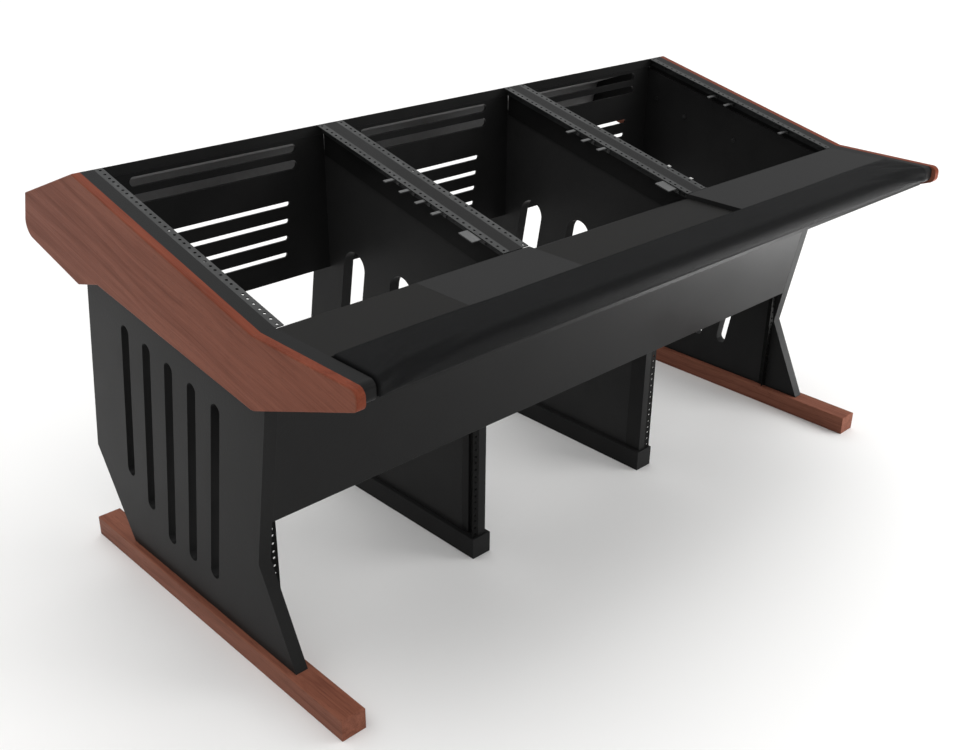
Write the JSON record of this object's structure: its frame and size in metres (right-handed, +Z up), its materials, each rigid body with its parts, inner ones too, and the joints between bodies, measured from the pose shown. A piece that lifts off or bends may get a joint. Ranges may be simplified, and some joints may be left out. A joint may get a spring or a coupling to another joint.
{
  "type": "studio console desk",
  "caption": "Free-standing audio console desk with sloped 19-inch rack bays, slotted legs and dividers, wood cheeks and feet, and a padded front armrest.",
  "frame": {"origin": "On the floor, under the middle of the desk's bounding box.", "axes": "+X to the operator's right, along the desk; +Y from the operator to the back; +Z up."},
  "size_m": [1.5866, 0.9889, 0.7943],
  "materials": {
    "cheek_wood": "satin lacquered solid wood, grain along the desk's depth",
    "foot_wood": "satin lacquered solid wood",
    "black_board": "MDF board in fine-textured black lacquer",
    "bare_board": "MDF board, black lacquered, under the armrest and strips",
    "deck_laminate": "MDF board in dark grey laminate",
    "rack_steel": "black powder-coated steel, worn bright round the tapped holes",
    "fastener_steel": "zinc-plated steel",
    "armrest_vinyl": "black grained vinyl over foam"
  },
  "bodies": {
    "root": {"armrest_core": "bare_board", "armrest_pad": "armrest_vinyl", "back_panel_left": "black_board", "back_panel_middle": "black_board", "back_panel_right": "black_board", "cheek_left": "cheek_wood", "cheek_right": "cheek_wood", "deck_board": "bare_board", "deck_plate_left": "deck_laminate", "deck_strip_left": "deck_laminate", "deck_strip_middle": "deck_laminate", "deck_strip_right": "deck_laminate", "divider_panel_left": "black_board", "divider_panel_right": "black_board", "divider_plinth_left": "black_board", "divider_plinth_right": "black_board", "divider_stile_left": "black_board", "divider_stile_right": "black_board", "divider_top_rail_left": "black_board", "divider_top_rail_right": "black_board", "foot_bolts_left": "fastener_steel", "foot_bolts_right": "fastener_steel", "foot_left": "foot_wood", "foot_right": "foot_wood", "knee_panel": "black_board", "leg_panel_left": "black_board", "leg_panel_right": "black_board", "lower_rail_1_left": "rack_steel", "lower_rail_1_right": "rack_steel", "lower_rail_3_left": "rack_steel", "lower_rail_3_right": "rack_steel", "rack_rail_1_left": "rack_steel", "rack_rail_1_right": "rack_steel", "rack_rail_2_left": "rack_steel", "rack_rail_2_right": "rack_steel", "rack_rail_3_left": "rack_steel", "rack_rail_3_right": "rack_steel", "rail_screws": "fastener_steel", "rail_tabs_1_right": "rack_steel", "rail_tabs_2_right": "rack_steel", "rail_tabs_3_left": "rack_steel", "rail_tabs_3_right": "rack_steel", "rear_cover": "black_board", "rear_lip": "black_board", "side_frame_left": "black_board", "side_frame_right": "black_board", "tongue_screws": "fastener_steel"}
  },
  "joints": []
}
